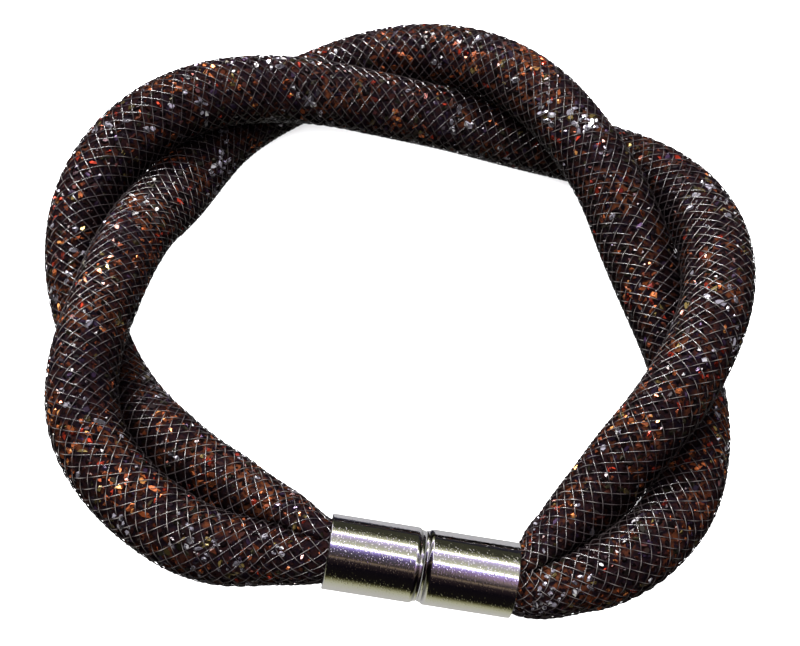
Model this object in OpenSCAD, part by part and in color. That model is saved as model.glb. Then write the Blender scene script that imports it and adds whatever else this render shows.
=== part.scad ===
// Twisted bracelet: two net tubes packed with small crystals, wound round each
// other for two full turns and gathered at both ends in a magnetic clasp.
// Millimetres. +Z is up, the bracelet lies on z = 0 and the clasp is on the -Y side.

/* [Strands] */
// Outer diameter of one net tube next to the clasp
strand_d = 7.8; // [7:0.1:9]
// Gap between the two tubes inside the clasp
strand_gap = 0.2; // [0.2:0.05:0.6]
// How flat the two soft tubes press on each other, as a part of their radius
press = 0.05; // [0:0.01:0.08]
// Wall thickness of the net, with its crossing threads
net_wall = 0.45; // [0.3:0.05:0.8]
// Clearance between the net and the packed crystals
fill_clear = 0.16; // [0.1:0.02:0.3]
// Length over which the gathered strands swell to their full round section, left mouth
gather_left = 16; // [10:0.5:20]
// The same at the right mouth
gather_right = 13.5; // [10:0.5:20]

/* [Clasp] */
// Diameter of the two steel caps
clasp_d = 8.4; // [8.2:0.1:9]
// Length of the closed clasp from mouth to mouth
clasp_l = 21; // [19:0.5:26]
// Diameter of the bore that holds the gathered strands
bore_d = 7.7; // [7.2:0.1:7.8]
// Clearance between the gathered strands and that bore
bore_clear = 0.25; // [0.15:0.05:0.4]
// Depth of that bore
bore_depth = 7; // [6.5:0.5:8]
// How far the strand ends reach into the bore
glued_l = 6; // [4:0.5:6]
// Diameter of the neck between the two caps
neck_d = 7.9; // [7.6:0.1:8]
// Length of the neck on each cap
neck_l = 0.3; // [0.2:0.05:0.6]
// Rounding of the shoulder beside the neck
shoulder_r = 0.7; // [0.5:0.05:1]
// Rounding of the rim at the mouth
rim_r = 0.12; // [0.05:0.01:0.12]
// Gap between the two halves where they meet
half_gap = 0.15; // [0.1:0.05:0.4]
// Diameter of each magnet
magnet_d = 5.6; // [4:0.1:5.8]
// Thickness of each magnet
magnet_t = 1.8; // [1:0.1:2]
// Clearance round and behind each magnet in its pocket
magnet_clear = 0.1; // [0.05:0.05:0.2]

/* [Pose of the clasp] */
// Distance of the clasp's middle from the middle of the loop
clasp_reach = 31.75; // [31:0.25:33]
// Sideways shift of the clasp's middle
clasp_side = 2.75; // [2:0.25:4]
// Height of the clasp's middle above the surface
clasp_height = 7.9; // [7:0.1:9]
// Turn of the clasp in plan, right end towards the front
clasp_turn = 7; // [4:0.2:10]
// Slope of the clasp, right end lower
clasp_slope = 6.7; // [4:0.1:10]
// Twist of the pair at the left mouth
left_twist = 0; // [-10:2:10]
// Twist of the pair at the right mouth, two turns further on
right_twist = 720; // [710:2:730]

/* [Smoothness] */
// Sides of a strand
sides = 14; // [8:1:16]
// Rings along each strand
ring_count = 84; // [60:1:90]
// Facets round the clasp
round_fn = 96; // [48:12:144]

/* [Hidden] */

// The middle line between the strands, a row for each station along the loop.
// Columns: turn about the middle of the loop, clockwise from the front seen from above,
// distance from that middle, height above the surface, diameter of each strand, gap
// between the two strands, and twist, the angle of strand a round the middle line:
// 0 outside, 90 on top, 180 inside and 270 below.
TURN = 0;
RADIUS = 1;
HEIGHT = 2;
SIZE = 3;
GAP = 4;
TWIST = 5;
bundle_stations = [
    [ 25, 31.6, 8.6, 8.1, 0.3,  10],
    [ 36, 32.8, 8.4, 8.5, 0.2,  16],
    [ 62, 35.2, 8.4, 8.6, 0.2,  31],
    [ 88, 35.2, 8.3, 8.5, 0.2, 105],
    [114, 36.7, 8.4, 8.7, 0.2, 178],
    [140, 35.7, 8.5, 8.7, 0.2, 261],
    [166, 33.5, 8.4, 8.4, 0.2, 322],
    [192, 32.9, 8.4, 8.0, 0.2, 390],
    [218, 32.8, 8.4, 8.6, 0.2, 456],
    [244, 34.5, 8.4, 8.9, 0.2, 526],
    [270, 35.1, 8.5, 8.8, 0.2, 596],
    [296, 35.9, 8.3, 8.5, 0.2, 665],
    [320, 36.4, 6.8, 8.1, 0.3, 728],
    [328, 36.3, 6.6, 7.9, 0.4, 725]
];

// Circle that both gathered strands fill inside the bore, each one half of it
gathered_r = bore_d / 2 - bore_clear;
// Distance that the pair runs straight out of each mouth, and where it starts to swell
lead_out = 0.6;
swell_start = 0.2;
// Rings in each bore, and how many of them the crystals don't reach
bore_rings = 4;
fill_inset = 2;
// How much closer together the rings stand near the clasp, as a part of their spacing
crowding = 0.4;
// Step along the curve that gives its direction
probe = 0.05;
// Steps in each rounding of a cap's profile
arc_steps = 6;
// Distance of the middle of a half circle from its flat side, as a part of the radius
half_moon = 0.424;

// Middle of the loop, which brings the middle of the outline over the origin and the
// lowest points of the strands to the surface
loop_centre = [0.23, -1.92, 0.03];
clasp_centre = loop_centre + [clasp_side, -clasp_reach, clasp_height];
clasp_axis = [cos(clasp_slope) * cos(clasp_turn), -cos(clasp_slope) * sin(clasp_turn),
              -sin(clasp_slope)];

function unit(v) = v / norm(v);
function head(v) = [v[0], v[1], v[2]];
function mix(a, b, share) = a * (1 - share) + b * share;

function station(k) =
    let (row = bundle_stations[k])
    concat(loop_centre + [-row[RADIUS] * sin(row[TURN]), -row[RADIUS] * cos(row[TURN]), row[HEIGHT]],
           [row[SIZE], row[GAP], row[TWIST]]);

// Row on the clasp's axis, at a distance from the clasp's middle
function on_clasp(reach, twist) =
    concat(clasp_centre + clasp_axis * reach, [strand_d, strand_gap, twist]);

// Rows [x, y, z, size, gap, twist] from the left bore round the loop to the right bore
rows = concat(
    [for (out = [-glued_l, 0, lead_out]) on_clasp(-clasp_l / 2 - out, left_twist)],
    [for (k = [0 : len(bundle_stations) - 1]) station(k)],
    [for (out = [lead_out, 0, -glued_l]) on_clasp(clasp_l / 2 + out, right_twist)]
);
last = len(rows) - 1;

// Length along the chords from the first row to each row
function chord(i) = norm(head(rows[i + 1]) - head(rows[i]));
knots = [for (i = 0, t = 0; i <= last; t = t + (i < last ? chord(i) : 0), i = i + 1) t];

// Slope of the curve at a row: the mean of its two chords, the nearer one counting more
function chord_slope(i) = (rows[i + 1] - rows[i]) / chord(i);
function row_slope(i) =
    i == 0 ? chord_slope(0)
    : i == last ? chord_slope(last - 1)
    : (chord_slope(i) * chord(i - 1) + chord_slope(i - 1) * chord(i)) / (chord(i - 1) + chord(i));

// The curve through the rows, a cubic between each two of them
function span_at(t) = max([for (i = [0 : last - 1]) if (i == 0 || t >= knots[i]) i]);
function curve(t) =
    let (i = span_at(t), h = chord(i), u = (t - knots[i]) / h)
    (1 + 2 * u) * (1 - u) * (1 - u) * rows[i] + u * (1 - u) * (1 - u) * h * row_slope(i)
    + u * u * (3 - 2 * u) * rows[i + 1] - u * u * (1 - u) * h * row_slope(i + 1);

// Share of the full round section at a place: 0 in the bores, 1 past the gathered lengths
function swell(t) =
    let (
        from_left = (t - knots[1] - swell_start) / gather_left,
        from_right = (knots[last - 1] - t - swell_start) / gather_right,
        u = max(0, min(1, from_left, from_right))
    )
    u * (3 - u * u) / 2;

// Places of the rings: a few in each bore, and the rest from mouth to mouth, closer
// together near the clasp, where the section changes
free_rings = ring_count - 2 * bore_rings;
function ring_places() =
    let (mouth = knots[1], free_l = knots[last - 1] - mouth)
    concat(
        [for (k = [0 : bore_rings - 1]) mouth * k / bore_rings],
        [for (k = [0 : free_rings - 1]) let (u = k / (free_rings - 1))
            mouth + free_l * (u - crowding * sin(360 * u) / (2 * PI))],
        [for (k = [1 : bore_rings]) mouth + free_l + mouth * k / bore_rings]
    );
places = ring_places();

// Distance from the middle line of the pair to the middle of a full round strand
function full_reach(strand_r, gap) = strand_r * (1 - press) + gap / 2;

// Distance from a strand's middle to its skin. The outline is a circle whose middle
// moves out from the middle line of the pair, where it is the circle of the bore, to
// the strand's own middle, and the flat between the two strands cuts it.
function skin(turn, strand_r, gap, reach, share) =
    let (
        circle_r = mix(gathered_r, strand_r, share),
        back = reach - full_reach(strand_r, gap) * share,
        round_part = sqrt(pow(circle_r, 2) - pow(back * sin(turn), 2)) - back * cos(turn),
        flat_part = (reach - gap / 2) / max(0.001, -cos(turn))
    )
    min(round_part, flat_part);

// Ring of points round one strand: side_turn 0 is strand a and 180 strand b,
// and depth is how far the ring lies under the outer skin
function ring(t, side_turn, depth) =
    let (
        here = curve(t),
        along = unit(head(curve(t + probe)) - head(curve(t - probe))),
        outward = unit([-along[1], along[0], 0]),
        upward = cross(along, outward),
        twist = here[5] + side_turn,
        to_strand = cos(twist) * outward + sin(twist) * upward,
        across = cos(twist) * upward - sin(twist) * outward,
        share = swell(t),
        strand_r = here[3] / 2,
        gap = here[4],
        reach = mix(half_moon * gathered_r, full_reach(strand_r, gap), share)
    )
    [for (j = [0 : sides - 1])
        let (turn = 360 * (j + 0.5) / sides, r = skin(turn, strand_r, gap, reach, share) - depth)
        head(here) + reach * to_strand + r * (cos(turn) * to_strand + sin(turn) * across)];

// Rings of one strand, leaving out a few at either end
function strand_points(side_turn, depth, left_out) =
    [for (k = [left_out : ring_count - 1 - left_out]) each ring(places[k], side_turn, depth)];

// Triangles of the wall between each ring and the next, seen from outside or inside
function wall_faces(rings, first, outside) =
    [for (k = [0 : rings - 2], j = [0 : sides - 1])
        let (
            a = first + k * sides + j,
            b = first + k * sides + (j + 1) % sides,
            c = a + sides,
            d = b + sides
        )
        each (outside ? [[a, c, d], [a, d, b]] : [[a, d, c], [a, b, d]])];

module hollow_strand(side_turn) {
    outer = strand_points(side_turn, 0, 0);
    inner = strand_points(side_turn, net_wall, 0);
    n = len(outer);
    end = n - sides;
    polyhedron(
        points = concat(outer, inner),
        faces = concat(
            wall_faces(ring_count, 0, true),
            wall_faces(ring_count, n, false),
            [for (j = [0 : sides - 1]) let (b = (j + 1) % sides)
                each [[j, b, n + j], [b, n + b, n + j]]],
            [for (j = [0 : sides - 1]) let (b = (j + 1) % sides)
                each [[end + j, end + n + j, end + b], [end + b, end + n + j, end + n + b]]]
        ),
        convexity = 8
    );
}

module solid_strand(side_turn) {
    points = strand_points(side_turn, net_wall + fill_clear, fill_inset);
    end = len(points) - sides;
    polyhedron(
        points = points,
        faces = concat(
            wall_faces(ring_count - 2 * fill_inset, 0, true),
            [[for (j = [0 : sides - 1]) j]],
            [[for (j = [sides - 1 : -1 : 0]) end + j]]
        ),
        convexity = 8
    );
}

// Points of an arc about a centre, from one angle to another
function arc(centre, r, from, to) =
    [for (k = [0 : arc_steps]) let (a = mix(from, to, k / arc_steps))
        centre + r * [cos(a), sin(a)]];

// Half profile of one cap, [radius, distance from the joint]: pocket for the magnet,
// neck, rounded shoulder, plain barrel, rounded rim and the bore
module cap_profile() {
    foot = half_gap / 2;
    mouth = clasp_l / 2;
    pocket_r = magnet_d / 2 + magnet_clear;
    pocket_end = foot + magnet_t + 2 * magnet_clear;
    shoulder_centre = clasp_d / 2 - shoulder_r;
    shoulder_start = -acos((neck_d / 2 - shoulder_centre) / shoulder_r);
    shoulder_foot = foot + neck_l - shoulder_r * sin(shoulder_start);
    polygon(concat(
        [[0, pocket_end], [pocket_r, pocket_end], [pocket_r, foot],
         [neck_d / 2, foot]],
        arc([shoulder_centre, shoulder_foot], shoulder_r, shoulder_start, 0),
        arc([clasp_d / 2 - rim_r, mouth - rim_r], rim_r, 0, 90),
        [[bore_d / 2, mouth], [bore_d / 2, mouth - bore_depth], [0, mouth - bore_depth]]
    ));
}

// Puts a shape drawn about +Z from the joint outwards on one half of the clasp
module on_half(right) {
    translate(clasp_centre) rotate([0, clasp_slope, -clasp_turn])
        rotate([0, right ? 90 : -90, 0]) children();
}

module clasp_cap(right) {
    on_half(right) rotate_extrude($fn = round_fn) cap_profile();
}

module clasp_magnet(right) {
    on_half(right) translate([0, 0, half_gap / 2 + magnet_clear])
        cylinder(d = magnet_d, h = magnet_t, $fn = round_fn);
}

module net_sleeve_a() {
    color([0.16, 0.12, 0.11]) hollow_strand(0);
}

module net_sleeve_b() {
    color([0.18, 0.13, 0.12]) hollow_strand(180);
}

module crystal_fill_a() {
    color([0.42, 0.18, 0.09]) solid_strand(0);
}

module crystal_fill_b() {
    color([0.42, 0.18, 0.09]) solid_strand(180);
}

module clasp_cap_left() {
    color([0.75, 0.76, 0.78]) clasp_cap(false);
}

module clasp_cap_right() {
    color([0.75, 0.76, 0.78]) clasp_cap(true);
}

module clasp_magnet_left() {
    color([0.5, 0.5, 0.52]) clasp_magnet(false);
}

module clasp_magnet_right() {
    color([0.5, 0.5, 0.52]) clasp_magnet(true);
}

net_sleeve_a();
net_sleeve_b();
crystal_fill_a();
crystal_fill_b();
clasp_cap_left();
clasp_cap_right();
clasp_magnet_left();
clasp_magnet_right();
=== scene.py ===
"""Looks of a twisted bracelet: two net tubes packed with small faceted crystals, wound round
each other and gathered at both ends in a polished cylindrical magnetic clasp."""
import math

import bpy
import numpy as np
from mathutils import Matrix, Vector


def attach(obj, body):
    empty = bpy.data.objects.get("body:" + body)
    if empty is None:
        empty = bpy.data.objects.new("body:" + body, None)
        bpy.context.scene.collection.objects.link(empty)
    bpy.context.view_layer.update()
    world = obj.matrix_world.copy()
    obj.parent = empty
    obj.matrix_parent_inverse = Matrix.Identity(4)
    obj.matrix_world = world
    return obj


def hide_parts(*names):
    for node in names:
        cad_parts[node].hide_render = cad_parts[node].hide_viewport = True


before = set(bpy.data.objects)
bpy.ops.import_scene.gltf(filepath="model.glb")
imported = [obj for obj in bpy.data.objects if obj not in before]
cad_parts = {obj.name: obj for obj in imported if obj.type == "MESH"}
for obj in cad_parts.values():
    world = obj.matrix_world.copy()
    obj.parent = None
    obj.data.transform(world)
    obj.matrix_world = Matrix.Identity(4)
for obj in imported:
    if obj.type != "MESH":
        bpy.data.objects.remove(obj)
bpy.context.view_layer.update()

MM = 0.001

# Strands, as in the solids
STRAND_D = 7.8 * MM
STRAND_GAP = 0.2 * MM
PRESS = 0.05
GATHER_LEFT = 16 * MM
GATHER_RIGHT = 13.5 * MM
SWELL_START = 0.2 * MM
LEAD_OUT = 0.6 * MM
HALF_MOON = 0.424
# Half the slit between the skins of the two tubes, where they touch and where the gap is widest.
# Light shows through it only at the right end of the clasp
SEAM = 0.035 * MM
OPEN_SEAM = 0.36 * MM

# Clasp, as in the solids
CLASP_D = 8.4 * MM
CLASP_L = 21 * MM
BORE_D = 7.7 * MM
BORE_CLEAR = 0.25 * MM
BORE_DEPTH = 7 * MM
GLUED_L = 6 * MM
NECK_D = 7.9 * MM
NECK_L = 0.3 * MM
SHOULDER_R = 0.7 * MM
RIM_R = 0.12 * MM
JOINT_GAP = 0.15 * MM
MAGNET_D = 5.6 * MM
MAGNET_T = 1.8 * MM
MAGNET_CLEAR = 0.1 * MM
CLASP_REACH = 31.75 * MM
CLASP_SIDE = 2.75 * MM
CLASP_HEIGHT = 7.9 * MM
CLASP_TURN = 7
CLASP_SLOPE = 6.7
LEFT_TWIST = 0
RIGHT_TWIST = 720

# Middle line of the pair, a row for each station along the loop. Columns: turn about the
# middle of the loop in degrees, distance from it, height, strand diameter and gap, all in
# millimetres, and twist, the angle of strand a round the middle line, in degrees
LOOP_CENTRE = np.array([0.23, -1.92, 0.03]) * MM
STATIONS = [
    (25, 31.6, 8.6, 8.1, 0.3, 10),
    (36, 32.8, 8.4, 8.5, 0.2, 16),
    (62, 35.2, 8.4, 8.6, 0.2, 31),
    (88, 35.2, 8.3, 8.5, 0.2, 105),
    (114, 36.7, 8.4, 8.7, 0.2, 178),
    (140, 35.7, 8.5, 8.7, 0.2, 261),
    (166, 33.5, 8.4, 8.4, 0.2, 322),
    (192, 32.9, 8.4, 8.0, 0.2, 390),
    (218, 32.8, 8.4, 8.6, 0.2, 456),
    (244, 34.5, 8.4, 8.9, 0.2, 526),
    (270, 35.1, 8.5, 8.8, 0.2, 596),
    (296, 35.9, 8.3, 8.5, 0.2, 665),
    (320, 36.4, 6.8, 8.1, 0.3, 728),
    (328, 36.3, 6.6, 7.9, 0.4, 725),
]

# Net: threads in each direction round one tube, length in which one goes round, how deep their
# middles lie on average and how far they sink and rise at the crossings
THREADS = 14
THREAD_PITCH = 20.2 * MM
THREAD_R = 0.056 * MM
NET_DEPTH = 0.05 * MM
WEAVE = 0.055 * MM
THREAD_SIDES = 4
STEPS_PER_CROSSING = 4

# Painted shade: the painted highlight on the threads gets darker towards the back of the loop
FAR_START = 14 * MM
FAR_LENGTH = 16 * MM
FAR_PAINTED_SHADE = 0.6

# The height of the weave's wave, from -1 to 1, where the painted highlight on a thread's crown
# starts and where it is brightest
HIGHLIGHT_START = -0.9
HIGHLIGHT_FULL = 0.7

# Painted shade on the tubes: the least share of light, the heights of the outward direction between
# which the underside is painted dark, and the cosines of the turn between which the valley is
LEAST_LIGHT = 0.2
UNDERSIDE = (-0.5, 0.7)
VALLEY = (-0.9, -0.2)

# Crystals: how far their highest points lie under the skin, how much they tilt, how far they are
# stretched one way and pressed the other, their spacing, what share of it they are moved at
# random, their size, and what is left of it in the bores
CRYSTAL_DEPTH = 0.06 * MM
CRYSTAL_TILT = 0.75
CRYSTAL_STRETCH = 0.45
CRYSTAL_STEP = 0.84 * MM
CRYSTALS_ROUND = 30
CRYSTAL_MARGIN = 2 * MM
ROW_JITTER = 0.35
COLUMN_JITTER = 0.3
CRYSTAL_R = (0.38 * MM, 0.70 * MM)
GATHERED_SIZE = 0.6

# Seed of the random draws for the first tube. The second has the next one
FIRST_SEED = 11

# Dark core under the crystals, whose darkness stands partly for the stones' dark backs and partly
# for painted shade between them
CORE_DEPTH = 0.24 * MM
CORE_MARGIN = 1 * MM
CORE_RINGS = 240
CORE_SIDES = 32

SIDES = {"a": 0, "b": 180}


def unit(vectors):
    """Vectors of length one, along the last axis."""
    return vectors / np.linalg.norm(vectors, axis=-1, keepdims=True)


def mix(a, b, share):
    """From a, where the share is 0, to b, where it is 1."""
    return a * (1 - share) + b * share


def clasp_frame():
    """Middle of the clasp and its three directions: along it to the right, up and to the front."""
    turn, slope = math.radians(CLASP_TURN), math.radians(CLASP_SLOPE)
    centre = LOOP_CENTRE + np.array([CLASP_SIDE, -CLASP_REACH, CLASP_HEIGHT])
    level = np.array([math.cos(turn), -math.sin(turn), 0])
    axis = math.cos(slope) * level - math.sin(slope) * np.array([0, 0, 1])
    front = unit(np.cross(axis, [0, 0, 1]))
    return centre, axis, np.cross(front, axis), front


class MiddleLine:
    """The line that the two strands wind round, from the left bore to the right one. Between
    its rows it is a cubic through both, whose slope at a row is the mean of the slopes of the
    two chords there, the shorter one counting more."""

    def __init__(self):
        centre, axis, _, _ = clasp_frame()
        left = [centre - axis * (CLASP_L / 2 + out) for out in (-GLUED_L, 0, LEAD_OUT)]
        right = [centre + axis * (CLASP_L / 2 + out) for out in (LEAD_OUT, 0, -GLUED_L)]
        rows = [[*place, STRAND_D, STRAND_GAP, LEFT_TWIST] for place in left]
        for turn, radius, height, size, gap, twist in STATIONS:
            turn = math.radians(turn)
            out = np.array([-radius * math.sin(turn), -radius * math.cos(turn), height]) * MM
            rows.append([*(LOOP_CENTRE + out), size * MM, gap * MM, twist])
        rows += [[*place, STRAND_D, STRAND_GAP, RIGHT_TWIST] for place in right]
        self.rows = np.array(rows)
        self.chords = np.linalg.norm(np.diff(self.rows[:, :3], axis=0), axis=1)
        self.knots = np.concatenate([[0], np.cumsum(self.chords)])
        slopes = np.diff(self.rows, axis=0) / self.chords[:, None]
        before, after = self.chords[:-1, None], self.chords[1:, None]
        inner = (slopes[1:] * before + slopes[:-1] * after) / (before + after)
        self.slopes = np.vstack([slopes[:1], inner, slopes[-1:]])
        self.mouths = self.knots[1], self.knots[-2]

    def at(self, place):
        """Rows [x, y, z, size, gap, twist] at distances along the line."""
        i = np.clip(np.searchsorted(self.knots, place, side="right") - 1, 0, len(self.chords) - 1)
        chord = self.chords[i][:, None]
        u = (place[:, None] - self.knots[i][:, None]) / chord
        row_before, row_after = (1 + 2 * u) * (1 - u) ** 2, u ** 2 * (3 - 2 * u)
        slope_before, slope_after = u * (1 - u) ** 2 * chord, u ** 2 * (1 - u) * chord
        return (row_before * self.rows[i] + slope_before * self.slopes[i]
                + row_after * self.rows[i + 1] - slope_after * self.slopes[i + 1])

    def swell(self, place):
        """Share of the full round section: 0 in the bores, 1 past the gathered lengths."""
        from_left = (place - self.mouths[0] - SWELL_START) / GATHER_LEFT
        from_right = (self.mouths[1] - place - SWELL_START) / GATHER_RIGHT
        u = np.clip(np.minimum(from_left, from_right), 0, 1)
        return u * (3 - u ** 2) / 2


LINE = MiddleLine()


class Strand:
    """One of the two tubes. A point of it is given by the length along its own middle, the
    angle round it, where 0 points away from the other strand, and the depth under its skin."""

    PROBE = 0.05 * MM
    SAMPLES = 4000
    LEAST_COSINE = 0.001

    def __init__(self, side_turn):
        self.side_turn = side_turn
        places = np.linspace(0, LINE.knots[-1], self.SAMPLES)
        middles = self.section(places)["middle"]
        steps = np.linalg.norm(np.diff(middles, axis=0), axis=1)
        self.lengths = np.concatenate([[0], np.cumsum(steps)])
        self.places = places
        self.length = self.lengths[-1]
        self.mouths = tuple(np.interp(LINE.mouths, places, self.lengths))

    def section(self, places):
        """Middle, directions and sizes of the cross-section at distances along the middle line."""
        row = LINE.at(places)
        ahead, behind = LINE.at(places + self.PROBE), LINE.at(places - self.PROBE)
        along = unit(ahead[:, :3] - behind[:, :3])
        outward = unit(np.stack([-along[:, 1], along[:, 0], np.zeros(len(along))], axis=1))
        upward = np.cross(along, outward)
        twist = np.radians(row[:, 5] + self.side_turn)[:, None]
        share = LINE.swell(places)
        strand_r, gap = row[:, 3] / 2, row[:, 4]
        full = strand_r * (1 - PRESS) + gap / 2
        reach = mix(HALF_MOON * (BORE_D / 2 - BORE_CLEAR), full, share)
        to_strand = np.cos(twist) * outward + np.sin(twist) * upward
        seam = mix(SEAM, OPEN_SEAM, np.clip(gap / STRAND_GAP - 1, 0, 1))
        return {
            "middle": row[:, :3] + reach[:, None] * to_strand,
            "to_strand": to_strand,
            "across": np.cos(twist) * upward - np.sin(twist) * outward,
            "strand_r": strand_r, "full": full, "reach": reach, "share": share, "seam": seam,
        }

    def points(self, length, turn, depth):
        """Points and outward directions, for arrays of one shape. The outline is a circle whose
        middle moves out from the middle line of the pair, where it fills the bore, to the
        strand's own middle, and the flat between the strands cuts it."""
        length, turn, depth = (a.ravel() for a in np.broadcast_arrays(length, turn, depth))
        here = self.section(np.interp(length, self.lengths, self.places))
        circle_r = mix(BORE_D / 2 - BORE_CLEAR, here["strand_r"], here["share"])
        back = here["reach"] - here["full"] * here["share"]
        c, s = np.cos(turn), np.sin(turn)
        round_part = np.sqrt(circle_r ** 2 - (back * s) ** 2) - back * c
        flat_part = (here["reach"] - here["seam"]) / np.maximum(self.LEAST_COSINE, -c)
        out = c[:, None] * here["to_strand"] + s[:, None] * here["across"]
        r = np.minimum(round_part, flat_part) - depth
        return here["middle"] + r[:, None] * out, out


STRANDS = {name: Strand(side_turn) for name, side_turn in SIDES.items()}


class Wire:
    """The output of a node. Arithmetic on it adds Math nodes to its tree."""

    def __init__(self, tree, socket):
        self.tree, self.socket = tree, socket

    def __add__(self, other):
        return self.tree.math("ADD", self, other)

    def __rsub__(self, other):
        return self.tree.math("SUBTRACT", other, self)

    def __mul__(self, other):
        return self.tree.math("MULTIPLY", self, other)

    def __truediv__(self, other):
        return self.tree.math("DIVIDE", self, other)

    __radd__ = __add__
    __rmul__ = __mul__


class Tree:
    """A node tree and the one method that adds any node to it."""

    def __init__(self, nodes_of):
        nodes_of.use_nodes = True
        self.tree = nodes_of.node_tree
        self.tree.nodes.clear()

    def node(self, kind, settings=None, inputs=None, output=0):
        """Adds a node, sets it, fills or links its sockets, and returns one output as a Wire."""
        made = self.tree.nodes.new(kind)
        for name, value in (settings or {}).items():
            if name == "stops":
                self.set_stops(made.color_ramp, value)
            else:
                setattr(made, name, value)
        for name, value in (inputs or {}).items():
            if isinstance(value, Wire):
                self.tree.links.new(value.socket, made.inputs[name])
            else:
                made.inputs[name].default_value = value
        return Wire(self, made.outputs[output]) if made.outputs else made

    @staticmethod
    def set_stops(ramp, stops):
        """Colours of a ramp, from (place, colour) pairs in rising order."""
        while len(ramp.elements) > 1:
            ramp.elements.remove(ramp.elements[-1])
        for k, (place, colour) in enumerate(stops):
            stop = ramp.elements[0] if k == 0 else ramp.elements.new(place)
            stop.position = place
            stop.color = (*colour, 1)

    def math(self, operation, *values):
        """A Math node's result."""
        return self.node("ShaderNodeMath", {"operation": operation}, dict(enumerate(values)))

    def mix(self, share, a, b, blend="MIX"):
        """Colour between a and b, or b laid over a by another way of blending."""
        settings = {"data_type": "RGBA", "blend_type": blend}
        a, b = (v if isinstance(v, Wire) else (*v, 1) for v in (a, b))
        return self.node("ShaderNodeMix", settings, {0: share, 6: a, 7: b}, output=2)

    def noise(self, scale, detail=2.0):
        """Noise from 0 to 1 on the object's own coordinates, in bumps for each metre."""
        coordinates = self.node("ShaderNodeTexCoord", output="Object")
        return self.node("ShaderNodeTexNoise", None,
                         {"Vector": coordinates, "Scale": scale, "Detail": detail})

    def patches(self, scale, detail, low, high, least=0.0):
        """Noise stretched so that it is the least value below low and 1 above high."""
        return self.ranged(self.noise(scale, detail), low, high, least)

    def ranged(self, value, low, high, least=0.0, most=1.0):
        """A value stretched and held so that it is the least at low and the most at high."""
        return self.node("ShaderNodeMapRange", None, {
            "Value": value, "From Min": low, "From Max": high, "To Min": least, "To Max": most,
        }, output="Result")

    def ring(self, turn, stops):
        """Colour by a turn from 0 to 1, from (angle, colour) stops from -180 to 180 degrees."""
        stops = sorted(((angle + 180) / 360 % 1, colour) for angle, colour in stops)
        return self.node("ShaderNodeValToRGB", {"stops": stops}, {"Fac": turn}, output="Color")

    def bump(self, height, distance):
        """Normal of a surface whose height varies by up to the distance."""
        return self.node("ShaderNodeBump", None, {"Height": height, "Distance": distance})

    def attribute(self, name, output):
        """An attribute or colour of the mesh, by its name."""
        return self.node("ShaderNodeAttribute", {"attribute_name": name}, output=output)


def finish_of(name, paint):
    """A material whose Principled shader takes what paint(tree) returns, socket by socket."""
    material = bpy.data.materials.new(name)
    tree = Tree(material)
    shader = tree.node("ShaderNodeBsdfPrincipled", None, paint(tree))
    tree.node("ShaderNodeOutputMaterial", None, {"Surface": shader})
    return material


def nylon(tree):
    """Dark glossy monofilament, browner in places, with a painted highlight in a narrow line along
    the crowns of the threads where they lie outermost, brighter in some stretches than in others."""
    crown = tree.attribute("crown", "Fac")
    dark = tree.mix(tree.noise(260, 3.0), (0.006, 0.005, 0.006), (0.024, 0.018, 0.018))
    # The painted highlight's colour, brighter in some stretches than in others
    stretch = tree.patches(110, 2.0, 0.36, 0.62)
    pale = tree.mix(stretch, (0.055, 0.048, 0.052), (0.21, 0.19, 0.175))
    narrow = crown * crown
    return {"Base Color": tree.mix(narrow, dark, pale), "Roughness": 0.2, "Specular IOR Level": 0.6}


def crystal(tree):
    """Foil-backed stones: each facet carries its stone's colour times a painted light, dark or
    bright like a glint, and painted shade on the undersides and in the valley, a little clouded
    with dark, and mirrors its surroundings. The coat is weaker where the painted shade is darker, a
    painted dimming of its reflection."""
    tint_and_painted_light, lit = tree.attribute("tint_and_painted_light", "Color"), tree.attribute("tint_and_painted_light", "Alpha")
    colour = tree.mix(tree.noise(1400) * 0.5, tint_and_painted_light, (0.010, 0.006, 0.007))
    return {"Base Color": colour, "Metallic": 0.7, "Roughness": 0.22, "Specular IOR Level": 0.0,
            "Coat Weight": 0.3 * lit, "Coat Roughness": 0.12}


def dark_core(tree):
    """What shows between the stones: a dark tone, partly the dark backs of the stones and partly
    painted shade between them, with warm flecks in some stretches, times the painted shade of the
    undersides and the valley."""
    lit = tree.attribute("tint_and_painted_light", "Color")
    fleck = tree.patches(1500, 3.0, 0.4, 0.62)
    stretch = tree.patches(210, 2.0, 0.52, 0.66, 0.1)
    tone = tree.mix(tree.noise(2400, 1.0), (0.001, 0.001, 0.001), (0.007, 0.004, 0.007))
    colour = tree.mix(fleck * stretch, tone, (0.066, 0.020, 0.008))
    return {"Base Color": tree.mix(1.0, colour, lit, "MULTIPLY"), "Roughness": 0.7,
            "Specular IOR Level": 0.0}


def polished_steel(tree):
    """Mirror-bright steel with the fine grain and the specks of polished plating."""
    grain = tree.noise(5000)
    specks = tree.patches(5200, 0.0, 0.62, 0.78)
    worn = tree.mix(tree.noise(150), (0.88, 0.87, 0.86), (0.93, 0.92, 0.91))
    colour = tree.mix(grain * 0.2, worn, (0.55, 0.53, 0.52))
    return {"Base Color": colour, "Metallic": 1.0, "Roughness": 0.03,
            "Normal": tree.bump(0.3 * grain + specks, 0.0042 * MM)}


def magnet_metal(tree):
    """Dull plated magnet, hidden in the caps."""
    shade = tree.noise(1500)
    colour = tree.mix(shade, (0.42, 0.42, 0.44), (0.55, 0.55, 0.57))
    return {"Base Color": colour, "Metallic": 1.0, "Roughness": 0.25 + 0.2 * shade}


def pale_floor(tree):
    """Plain matt paper."""
    colour = tree.mix(tree.noise(30), (0.88, 0.88, 0.89), (0.90, 0.90, 0.905))
    return {"Base Color": colour, "Roughness": 0.9, "Specular IOR Level": 0.1}


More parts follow.
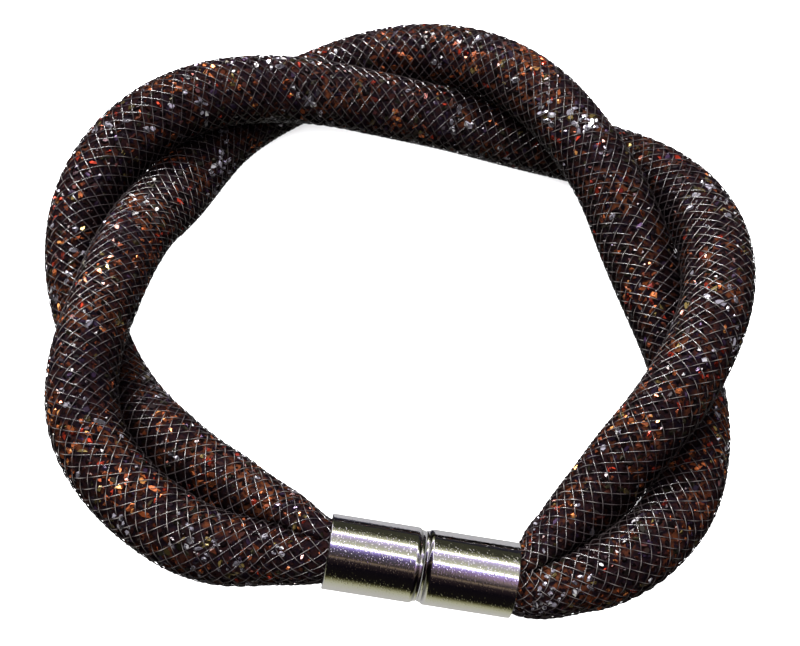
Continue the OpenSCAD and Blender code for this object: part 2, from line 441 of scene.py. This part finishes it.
def new_piece(name, points, triangles, material, smooth=True):
    """A mesh object from points (n, 3) and triangles (m, 3)."""
    mesh = bpy.data.meshes.new(name)
    mesh.vertices.add(len(points))
    mesh.vertices.foreach_set("co", np.ascontiguousarray(points, np.float32).ravel())
    mesh.loops.add(3 * len(triangles))
    mesh.loops.foreach_set("vertex_index", np.ascontiguousarray(triangles, np.int32).ravel())
    mesh.polygons.add(len(triangles))
    mesh.polygons.foreach_set("loop_start", np.arange(0, 3 * len(triangles), 3, dtype=np.int32))
    mesh.polygons.foreach_set("use_smooth", np.full(len(triangles), smooth))
    mesh.update(calc_edges=True)
    mesh.materials.append(material)
    piece = bpy.data.objects.new(name, mesh)
    bpy.context.scene.collection.objects.link(piece)
    return piece


def tube_triangles(tubes, rings, sides):
    """Triangles of closed tubes whose points are stored as (tube, ring, side), with a fan
    over each end. Seen from outside, the sides run anticlockwise about the direction of travel."""
    tube, ring, side = np.meshgrid(np.arange(tubes), np.arange(rings - 1), np.arange(sides),
                                   indexing="ij")
    start = tube * rings * sides
    a = start + ring * sides + side
    b = start + ring * sides + (side + 1) % sides
    c, d = a + sides, b + sides
    walls = np.stack([a, b, c, b, d, c], axis=-1).reshape(-1, 3)
    first = (np.arange(tubes) * rings * sides)[:, None]
    k = np.arange(1, sides - 1)[None, :]
    near = np.stack([first + 0 * k, first + k + 1, first + k], axis=-1).reshape(-1, 3)
    far = first + (rings - 1) * sides
    far = np.stack([far + 0 * k, far + k, far + k + 1], axis=-1).reshape(-1, 3)
    return np.concatenate([walls, near, far])


def smooth_step(value, low, high):
    """Rises smoothly from 0 at low to 1 at high: t^2 * (3 - 2t), t being the share of the way."""
    t = np.clip((value - low) / (high - low), 0, 1)
    return t * t * (3 - 2 * t)


def lighting(out, turn):
    """Painted shade: how much light a place on a tube is painted as getting, from 0.04 to 1: little
    on its underside and in the valley beside the other tube. The product of two smooth steps, of
    the outward direction's height and of cos(turn), which is -1 towards the other tube."""
    upward = smooth_step(out[..., 2], *UNDERSIDE)
    outside = smooth_step(np.cos(turn), *VALLEY)
    return mix(LEAST_LIGHT, 1, upward) * mix(LEAST_LIGHT, 1, outside)


def net_threads(strand, way):
    """The threads that run one way round a tube. Each is a helix on the skin,
    turn = start + way * 360 * length / pitch - twist, where taking off the twist keeps it
    even while the tubes wind round each other. It sinks and rises as the cosine of its
    crossings with the other threads, and a small section is carried along it. Returns points,
    triangles and, for each point, its crown, a painted highlight: 1 on the outermost line of a
    thread where it passes over another in full painted light, 0 at its sides and below, and less
    in painted shade on the underside, in the valley and towards the back."""
    crossings = 2 * THREADS * strand.length / THREAD_PITCH
    count = int(crossings * STEPS_PER_CROSSING)
    length = np.linspace(0, strand.length, count)[None, :]
    start = 2 * np.pi * np.arange(THREADS)[:, None] / THREADS
    places = np.interp(length[0], strand.lengths, strand.places)
    twist = np.radians(LINE.at(places)[:, 5])
    turn = start + way * 2 * np.pi * length / THREAD_PITCH - twist
    wave = np.cos(np.pi * 2 * THREADS * length / THREAD_PITCH)
    depth = NET_DEPTH - way * WEAVE * wave
    points, out = strand.points(length, turn, depth)
    points = points.reshape(THREADS, count, 3)
    out = out.reshape(THREADS, count, 3)
    along = unit(np.gradient(points, axis=1))
    out = unit(out - along * (out * along).sum(-1, keepdims=True))
    beside = np.cross(along, out)
    angle = 2 * np.pi * np.arange(THREAD_SIDES) / THREAD_SIDES
    ring = np.cos(angle)[:, None] * out[:, :, None] + np.sin(angle)[:, None] * beside[:, :, None]
    skin = points[:, :, None] + THREAD_R * ring
    far = np.clip((points[:, :, 1] - FAR_START) / FAR_LENGTH, 0, 1)
    over = np.clip((way * wave - HIGHLIGHT_START) / (HIGHLIGHT_FULL - HIGHLIGHT_START), 0, 1)
    # Painted highlight on the crowns, dimmed by painted shade on the undersides, in the valley and
    # towards the back
    pale = over * lighting(out, turn) * (1 - FAR_PAINTED_SHADE * far)
    crown = pale[:, :, None] * np.clip(np.cos(angle), 0, 1)
    return skin.reshape(-1, 3), tube_triangles(THREADS, count, THREAD_SIDES), crown.ravel()


def stone_template(sides=6, table_r=0.6, table_z=0.4, culet_z=-0.8):
    """A cut stone of girdle radius 1: table, two rows of crown facets and pavilion. Points:
    table ring, girdle ring, culet. The table ring stands half a side round from the girdle.
    Returns points, triangles and the facet of each triangle."""
    girdle = 2 * np.pi * np.arange(sides) / sides
    table = girdle + np.pi / sides
    flat = np.zeros(sides)
    points = np.concatenate([
        np.stack([table_r * np.cos(table), table_r * np.sin(table), flat + table_z], axis=1),
        np.stack([np.cos(girdle), np.sin(girdle), flat], axis=1),
        [[0, 0, culet_z]],
    ])
    k = np.arange(sides)
    following = (k + 1) % sides
    table_fan = np.stack([0 * k[1:-1], k[1:-1], following[1:-1]], axis=1)
    crown_down = np.stack([k, sides + k, sides + following], axis=1)
    crown_up = np.stack([k, sides + following, following], axis=1)
    pavilion = np.stack([sides + following, sides + k, 2 * sides + 0 * k], axis=1)
    facet = np.concatenate([0 * k[1:-1], 1 + k, 1 + sides + k, 1 + 2 * sides + k])
    return points, np.concatenate([table_fan, crown_down, crown_up, pavilion]), facet


def tilted_frames(rng, out, tilt):
    """Frames (count, 3, 3) of unit rows x, y and z, where z is the outward direction tilted at
    random, z = unit(out + tilt * normal deviates), and x is any direction across it."""
    z = unit(out + tilt * rng.normal(size=out.shape))
    x = unit(np.cross(z, rng.normal(size=out.shape)))
    return np.stack([x, np.cross(z, x), z], axis=1)


# Colours of the stones, and how many have each in the dark stretches, and how many more in
# the warm and in the pale clouds
STONE_TINTS = [
    ((0.010, 0.005, 0.006), 34, 0, 0),
    ((0.036, 0.011, 0.009), 22, 0, 0),
    ((0.026, 0.014, 0.034), 12, 0, 10),
    ((0.032, 0.028, 0.014), 6, 0, 5),
    ((0.110, 0.028, 0.012), 14, 40, 0),
    ((0.270, 0.066, 0.021), 2, 75, 0),
    ((0.700, 0.190, 0.060), 0.3, 75, 0),
    ((0.420, 0.036, 0.016), 1.6, 22, 0),
    ((0.200, 0.145, 0.050), 1.3, 14, 20),
    ((0.640, 0.600, 0.700), 1.3, 3, 130),
]
# How much of a tube the warm and the pale clouds cover, higher for more
WARM_COVER = -0.7
PALE_COVER = -1.2
# Painted light on the facets: a facet's colour is its stone's colour times one of these, drawn by
# the shares below, so that some facets are painted dark and some painted bright like glints
FACET_PAINTED_LIGHT = [0.12, 0.45, 1.1, 2.3]
FACET_PAINTED_LIGHT_SHARES = [0.33, 0.35, 0.22, 0.1]
BRIGHTEST = 0.95


def clouds(rng, length, turn, cover, waves=9, fineness=650, most_rounds=3, contrast=2.4):
    """Smooth random patches over a tube, from 0 to 1: the sum of a few waves in random
    directions, cos(along * length + round * turn + phase), above a level set by the cover."""
    total = 0
    for _ in range(waves):
        along = rng.normal(0, fineness)
        rounds = rng.integers(-most_rounds, most_rounds + 1)
        phase = rng.uniform(0, 2 * np.pi)
        total = total + np.cos(along * length + rounds * turn + phase)
    return np.clip(contrast * (total / np.sqrt(waves / 2) + cover), 0, 1)


def stone_places(rng, strand):
    """Length, turn and size of each stone: jittered rows along a tube, every second row half a
    step further round, and smaller stones in the bores."""
    rows = int((strand.length - 2 * CRYSTAL_MARGIN) / CRYSTAL_STEP)
    row, column = np.meshgrid(np.arange(rows), np.arange(CRYSTALS_ROUND), indexing="ij")
    row, column = row.ravel(), column.ravel()
    jitter = rng.uniform(-ROW_JITTER, ROW_JITTER, len(row))
    length = CRYSTAL_MARGIN + CRYSTAL_STEP * (row + 0.5 + jitter)
    jitter = rng.uniform(-COLUMN_JITTER, COLUMN_JITTER, len(row))
    turn = 2 * np.pi * (column + 0.5 * (row % 2) + jitter) / CRYSTALS_ROUND
    size = rng.uniform(*CRYSTAL_R, len(row))
    past_mouth = np.minimum(length - strand.mouths[0], strand.mouths[1] - length) / GATHER_LEFT
    return length, turn, size * mix(GATHERED_SIZE, 1.0, np.clip(past_mouth, 0, 1))


def stone_colours(rng, length, turn, facets):
    """The colour of each facet of each stone, (count, facets, 3): the stone's own colour, drawn by
    the shares that hold where it lies, times a random painted light, dark or bright like a glint."""
    tints = np.array([colour for colour, *_ in STONE_TINTS])
    dark, warm, pale = np.array([shares for _, *shares in STONE_TINTS], float).T
    warmth = clouds(rng, length, turn, WARM_COVER)[:, None]
    paleness = clouds(rng, length, turn, PALE_COVER)[:, None]
    bounds = np.cumsum(dark + warm * warmth + pale * paleness, axis=1)
    kind = (rng.uniform(0, 1, (len(length), 1)) * bounds[:, -1:] > bounds).sum(1)
    glow = rng.choice(FACET_PAINTED_LIGHT, (len(length), facets), p=FACET_PAINTED_LIGHT_SHARES)
    return tints[kind][:, None] * glow[:, :, None]


def crystals(strand, seed):
    """The outer stones of a tube's filling, each stretched and tilted at random and with its
    highest point at one depth under the skin. Returns points, triangles and, for each
    triangle, its colour with painted facet light and painted shade, and how much light its
    stone is painted as getting."""
    rng = np.random.default_rng(seed)
    length, turn, size = stone_places(rng, strand)
    count = len(size)
    _, outward = strand.points(length, turn, 0)
    points, triangles, facet = stone_template()
    stretch = np.exp(rng.uniform(-CRYSTAL_STRETCH, CRYSTAL_STRETCH, count))
    shaped = points * np.stack([stretch, 1 / stretch, np.ones(count)], axis=1)[:, None]
    turned = np.einsum("kji,knj->kni", tilted_frames(rng, outward, CRYSTAL_TILT), shaped)
    highest = np.einsum("kni,ki->kn", turned, outward).max(axis=1)
    centre, _ = strand.points(length, turn, CRYSTAL_DEPTH + size * highest)
    placed = centre[:, None] + size[:, None, None] * turned
    faces = triangles[None] + (len(points) * np.arange(count))[:, None, None]
    colours = stone_colours(rng, length, turn, facet.max() + 1)[:, facet]
    # Painted shade, darker on the undersides and in the valley; it also weakens the coat
    lit = lighting(outward, turn)[:, None, None]
    shade = np.clip(colours * lit, 0, BRIGHTEST)
    tint_and_painted_light = np.concatenate([shade, np.broadcast_to(lit, (*shade.shape[:2], 1))], axis=2)
    return placed.reshape(-1, 3), faces.reshape(-1, 3), tint_and_painted_light.reshape(-1, 4)


def core(strand):
    """A closed dark tube under the stones, which stands partly for painted shade between them.
    Returns points, triangles and, for each triangle, how much light it is painted as getting,
    the same in all four channels."""
    length = np.linspace(CORE_MARGIN, strand.length - CORE_MARGIN, CORE_RINGS)[:, None]
    turn = 2 * np.pi * np.arange(CORE_SIDES)[None, :] / CORE_SIDES
    points, outward = strand.points(length, turn, CORE_DEPTH)
    triangles = tube_triangles(1, CORE_RINGS, CORE_SIDES)
    # Painted shade, darker on the undersides and in the valley
    lit = lighting(outward, np.broadcast_to(turn, (CORE_RINGS, CORE_SIDES)).ravel())
    return points, triangles, np.repeat(lit[triangles].mean(1)[:, None], 4, axis=1)


def add_tint_and_painted_light(mesh, colours):
    """One colour for each triangle, with its painted share of light as alpha, kept at its three
    corners.
    """
    layer = mesh.color_attributes.new("tint_and_painted_light", "FLOAT_COLOR", "CORNER")
    layer.data.foreach_set("color", np.repeat(colours, 3, axis=0).astype(np.float32).ravel())


def settled(points, soft=0.05 * MM):
    """Points pressed to just above the floor where they would dip below it:
    z' = (z + sqrt(z^2 + soft^2)) / 2."""
    z = points[:, 2]
    return np.column_stack([points[:, :2], (z + np.sqrt(z ** 2 + soft ** 2)) / 2])


def add_nets(material):
    """The threads that rise and those that fall round each tube, with the painted highlight on
    their crowns.
    """
    for name, strand in STRANDS.items():
        for way_name, way in (("rising", 1), ("falling", -1)):
            points, triangles, crown = net_threads(strand, way)
            piece = new_piece(f"net_threads_{name}_{way_name}", settled(points), triangles,
                              material)
            layer = piece.data.attributes.new("crown", "FLOAT", "POINT")
            layer.data.foreach_set("value", crown.astype(np.float32))
            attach(piece, "root")
            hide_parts(f"net_sleeve_{name}")


def add_fillings(stone_finish, core_finish):
    """The stones of each tube and their dark core, joined in one mesh."""
    for seed, (name, strand) in enumerate(STRANDS.items(), start=FIRST_SEED):
        points, triangles, colours = crystals(strand, seed)
        core_points, core_triangles, core_lit = core(strand)
        all_points = settled(np.concatenate([points, core_points]))
        all_triangles = np.concatenate([triangles, core_triangles + len(points)])
        piece = new_piece(f"crystals_{name}", all_points, all_triangles, stone_finish, smooth=False)
        piece.data.materials.append(core_finish)
        is_core = np.arange(len(all_triangles)) >= len(triangles)
        piece.data.polygons.foreach_set("material_index", is_core.astype(np.int32))
        piece.data.polygons.foreach_set("use_smooth", is_core)
        add_tint_and_painted_light(piece.data, np.concatenate([colours, core_lit]))
        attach(piece, "root")
        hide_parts(f"crystal_fill_{name}")


def rounding(centre, radius, start, end, steps=8):
    """Points of an arc in the profile plane, from one angle to another in degrees."""
    angle = np.radians(np.linspace(start, end, steps + 1))
    return np.array(centre) + radius * np.stack([np.cos(angle), np.sin(angle)], axis=1)


def cap_profile():
    """Closed half profile of a cap, (radius, distance from the joint), as in the solids, with
    a close second point beside each corner so that the flats stay flat when shaded smooth."""
    foot, mouth = JOINT_GAP / 2, CLASP_L / 2
    pocket_r = MAGNET_D / 2 + MAGNET_CLEAR
    pocket_end = foot + MAGNET_T + 2 * MAGNET_CLEAR
    hold = 0.03 * MM
    outer, inner = CLASP_D / 2, BORE_D / 2
    bottom = mouth - BORE_DEPTH
    shoulder_middle = outer - SHOULDER_R
    start = -math.degrees(math.acos((NECK_D / 2 - shoulder_middle) / SHOULDER_R))
    shoulder = foot + NECK_L - SHOULDER_R * math.sin(math.radians(start))
    return np.concatenate([
        [[pocket_r - hold, pocket_end], [pocket_r, pocket_end - hold], [pocket_r, foot + hold],
         [pocket_r + hold, foot], [NECK_D / 2 - hold, foot], [NECK_D / 2, foot + hold],
         [NECK_D / 2, foot + NECK_L - hold]],
        rounding((shoulder_middle, shoulder), SHOULDER_R, start, 0),
        [[outer, shoulder + hold], [outer, mouth - RIM_R - hold]],
        rounding((outer - RIM_R, mouth - RIM_R), RIM_R, 0, 90, steps=6),
        [[inner + hold, mouth], [inner, mouth - hold], [inner, bottom + hold],
         [inner - hold, bottom]],
    ])


def lathe(profile, way, around=192):
    """The closed half profile turned about the clasp's axis, on one side of the joint:
    point = middle + way * z * axis + r * (cos a * up + sin a * front)."""
    centre, axis, up, front = clasp_frame()
    angle = 2 * np.pi * np.arange(around) / around
    spoke = np.cos(angle)[:, None] * up + np.sin(angle)[:, None] * front
    rim = profile[:, 0][:, None, None] * spoke[None]
    points = centre + way * profile[:, 1][:, None, None] * axis + rim
    rings = len(profile)
    ring, side = np.meshgrid(np.arange(rings - 1), np.arange(around), indexing="ij")
    a = ring * around + side
    b = ring * around + (side + 1) % around
    c, d = a + around, b + around
    walls = np.stack([a, b, c, b, d, c], axis=-1).reshape(-1, 3)
    poles = np.stack([centre + way * profile[k, 1] * axis for k in (0, -1)])
    k = np.arange(around)
    following = (k + 1) % around
    first = np.stack([rings * around + 0 * k, following, k], axis=1)
    last = (rings - 1) * around
    end = np.stack([rings * around + 1 + 0 * k, last + k, last + following], axis=1)
    points = np.concatenate([points.reshape(-1, 3), poles])
    triangles = np.concatenate([walls, first, end])
    return points, triangles if way > 0 else triangles[:, ::-1]


def add_clasp(steel, magnet):
    """The two caps in place of the plain ones. The magnets keep their solids' shape."""
    for name, way in (("left", -1), ("right", 1)):
        points, triangles = lathe(cap_profile(), way)
        piece = new_piece(f"polished_cap_{name}", points, triangles, steel)
        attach(piece, "root")
        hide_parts(f"clasp_cap_{name}")
        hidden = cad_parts[f"clasp_magnet_{name}"]
        hidden.data.materials.clear()
        hidden.data.materials.append(magnet)


def add_floor(material):
    """A round sheet of paper under the bracelet, which neither lights it nor shows in it."""
    radius, around = 1.5, 96
    angle = 2 * np.pi * np.arange(around) / around
    rim = np.stack([np.cos(angle), np.sin(angle), np.zeros(around)], axis=1) * radius
    k = np.arange(around)
    triangles = np.stack([np.full(around, around), k, (k + 1) % around], axis=1)
    points = np.concatenate([rim, [[0, 0, 0]]])
    floor = new_piece("floor", points, triangles, material, smooth=False)
    floor.visible_glossy = floor.visible_diffuse = False
    return floor


# Studio round the bracelet, as the clasp mirrors it: brightness and colour by the angle from
# the front horizon (0) over the top (90) to the back horizon (180), in degrees. Two narrow
# bright strips stand among darker walls, and the sheet lies below.
STRIP = 3.0
COOL_STRIP, WARM_STRIP = (STRIP * 0.8, STRIP * 0.72, STRIP), (STRIP, STRIP, STRIP * 0.85)
STUDIO_BANDS = [
    (-159, (0.030, 0.028, 0.045)), (-155, (0.53, 0.52, 0.56)), (-110, (0.46, 0.46, 0.46)),
    (-55, (0.51, 0.50, 0.46)), (-33, (0.46, 0.46, 0.37)), (-25, (0.42, 0.42, 0.29)),
    (-18, (0.33, 0.325, 0.195)), (-13, (0.195, 0.19, 0.10)), (-7, (0.046, 0.043, 0.016)),
    (-1, (0.006, 0.005, 0.004)), (38, (0.004, 0.003, 0.005)), (54, (0.020, 0.013, 0.015)),
    (58, (0.10, 0.075, 0.060)), (60.5, (0.20, 0.145, 0.10)), (64, (0.050, 0.038, 0.034)),
    (78, (0.070, 0.062, 0.080)), (86, (0.13, 0.10, 0.21)), (92, (0.30, 0.24, 0.60)),
    (96, (0.70, 0.60, 1.10)), (98, COOL_STRIP), (102, WARM_STRIP), (104, (0.80, 0.80, 0.65)),
    (109, (0.48, 0.48, 0.35)), (120, (0.43, 0.40, 0.42)), (128, (0.56, 0.48, 0.75)),
    (132, (0.85, 0.75, 1.10)), (134, COOL_STRIP), (137.5, WARM_STRIP), (140, (0.75, 0.75, 0.55)),
    (148, (0.20, 0.20, 0.12)), (156, (0.040, 0.040, 0.026)), (180, (0.016, 0.016, 0.020)),
]
# Glow seen only towards the right of the clasp, by the same angle
PLUM_GLOW = [(68, (0, 0, 0)), (78, (0.19, 0.13, 0.12)), (88, (0.24, 0.14, 0.20)), (96, (0, 0, 0))]
# How far the bands turn with the direction along the clasp, in turns, and where that ends
BAND_SLANT = 0.43
SLANT_END = 0.16
# Where along the clasp's axis the plum glow sets in, and where the studio gets dark and how dark
GLOW_RISE = (0.07, 0.13)
END_RISE = (0.25, 0.6)
END_DARKNESS = 0.75


def add_studio():
    """The surroundings: bands of light and dark round the clasp's axis, a little slanted to it,
    and a plain white backdrop where the camera looks past the floor."""
    _, axis, up, front = clasp_frame()
    world = bpy.data.worlds.new("studio")
    bpy.context.scene.world = world
    tree = Tree(world)
    direction = tree.node("ShaderNodeTexCoord", output="Generated")
    height, depth, along = (
        tree.node("ShaderNodeVectorMath", {"operation": "DOT_PRODUCT"},
                  {0: direction, 1: tuple(way)}, output="Value")
        for way in (up, front, axis)
    )
    slant = tree.node("ShaderNodeClamp", None,
                      {"Value": along, "Min": -SLANT_END, "Max": SLANT_END})
    around = tree.math("ARCTAN2", height, depth) / (2 * math.pi) + 0.5
    turn = tree.math("FRACT", around + slant * BAND_SLANT)
    bands, glow = (tree.ring(turn, stops) for stops in (STUDIO_BANDS, PLUM_GLOW))
    right = tree.ranged(along, *GLOW_RISE)
    ends = tree.ranged(tree.math("ABSOLUTE", along), *END_RISE, most=END_DARKNESS)
    lit = tree.node("ShaderNodeBackground", None,
                    {"Color": tree.mix(right, bands, glow, "ADD"), "Strength": 1.0 - ends})
    backdrop = tree.node("ShaderNodeBackground", None, {"Color": (1, 1, 1, 1)})
    seen = tree.node("ShaderNodeLightPath", output="Is Camera Ray")
    shown = tree.node("ShaderNodeMixShader", None, {0: seen, 1: lit, 2: backdrop})
    tree.node("ShaderNodeOutputWorld", None, {"Surface": shown})


def add_lamp(name, place, size, watts, pieces, mirrored):
    """A soft lamp that faces the bracelet and lights only the pieces in the list. Glossy
    surfaces mirror it or not."""
    lamp = bpy.data.lights.new(name, "AREA")
    lamp.shape = "RECTANGLE"
    lamp.size, lamp.size_y = size
    lamp.energy = watts
    holder = bpy.data.objects.new(name, lamp)
    bpy.context.scene.collection.objects.link(holder)
    holder.location = place
    holder.rotation_euler = Vector(place).to_track_quat("Z", "Y").to_euler()
    holder.visible_glossy = mirrored
    lit = bpy.data.collections.new(f"lit_by_{name}")
    for piece in pieces:
        lit.objects.link(piece)
    holder.light_linking.receiver_collection = lit


def add_camera():
    """The photograph's view: 62 degrees above the floor, straight from the front."""
    elevation, distance = math.radians(62), 214.93 * MM
    target = np.array([0.68, -2.27, 6.0]) * MM
    focus_px, frame_px, sensor_mm = 1796.3, 800, 36
    data = bpy.data.cameras.new("camera")
    data.sensor_fit = "HORIZONTAL"
    data.sensor_width = sensor_mm
    data.lens = focus_px * sensor_mm / frame_px
    data.clip_start, data.clip_end = 0.01, 20
    camera = bpy.data.objects.new("camera", data)
    bpy.context.scene.collection.objects.link(camera)
    back = np.array([0, -math.cos(elevation), math.sin(elevation)])
    camera.location = target + distance * back
    camera.rotation_euler = (math.pi / 2 - elevation, 0, 0)
    bpy.context.scene.camera = camera


add_camera()
add_nets(finish_of("net", nylon))
add_fillings(finish_of("crystal", crystal), finish_of("core", dark_core))
add_clasp(finish_of("polished_steel", polished_steel), finish_of("magnet", magnet_metal))
bracelet = [thing for thing in bpy.data.objects if thing.type == "MESH"]
nets = [piece for piece in bracelet if piece.name.startswith("net_threads")]
fillings = [piece for piece in bracelet if piece.name.startswith("crystals")]
floor = add_floor(finish_of("floor", pale_floor))
add_studio()
# Name, place and size in metres, power in watts, the pieces it lights, and whether it's mirrored
add_lamp("lamp_floor", (0.0, 0.0, 0.8), (3.0, 3.0), 210.0, [floor], False)
add_lamp("lamp_over", (0.0, -0.1, 0.7), (0.8, 0.8), 11.0, bracelet, False)
add_lamp("strip_for_nets", (-0.33, 0.34, 0.55), (0.55, 0.07), 25.0, nets, True)
add_lamp("strip_for_stones", (-0.24, 0.5, 0.46), (0.5, 0.06), 13.0, fillings, True)
bpy.context.scene.view_settings.view_transform = "Standard"
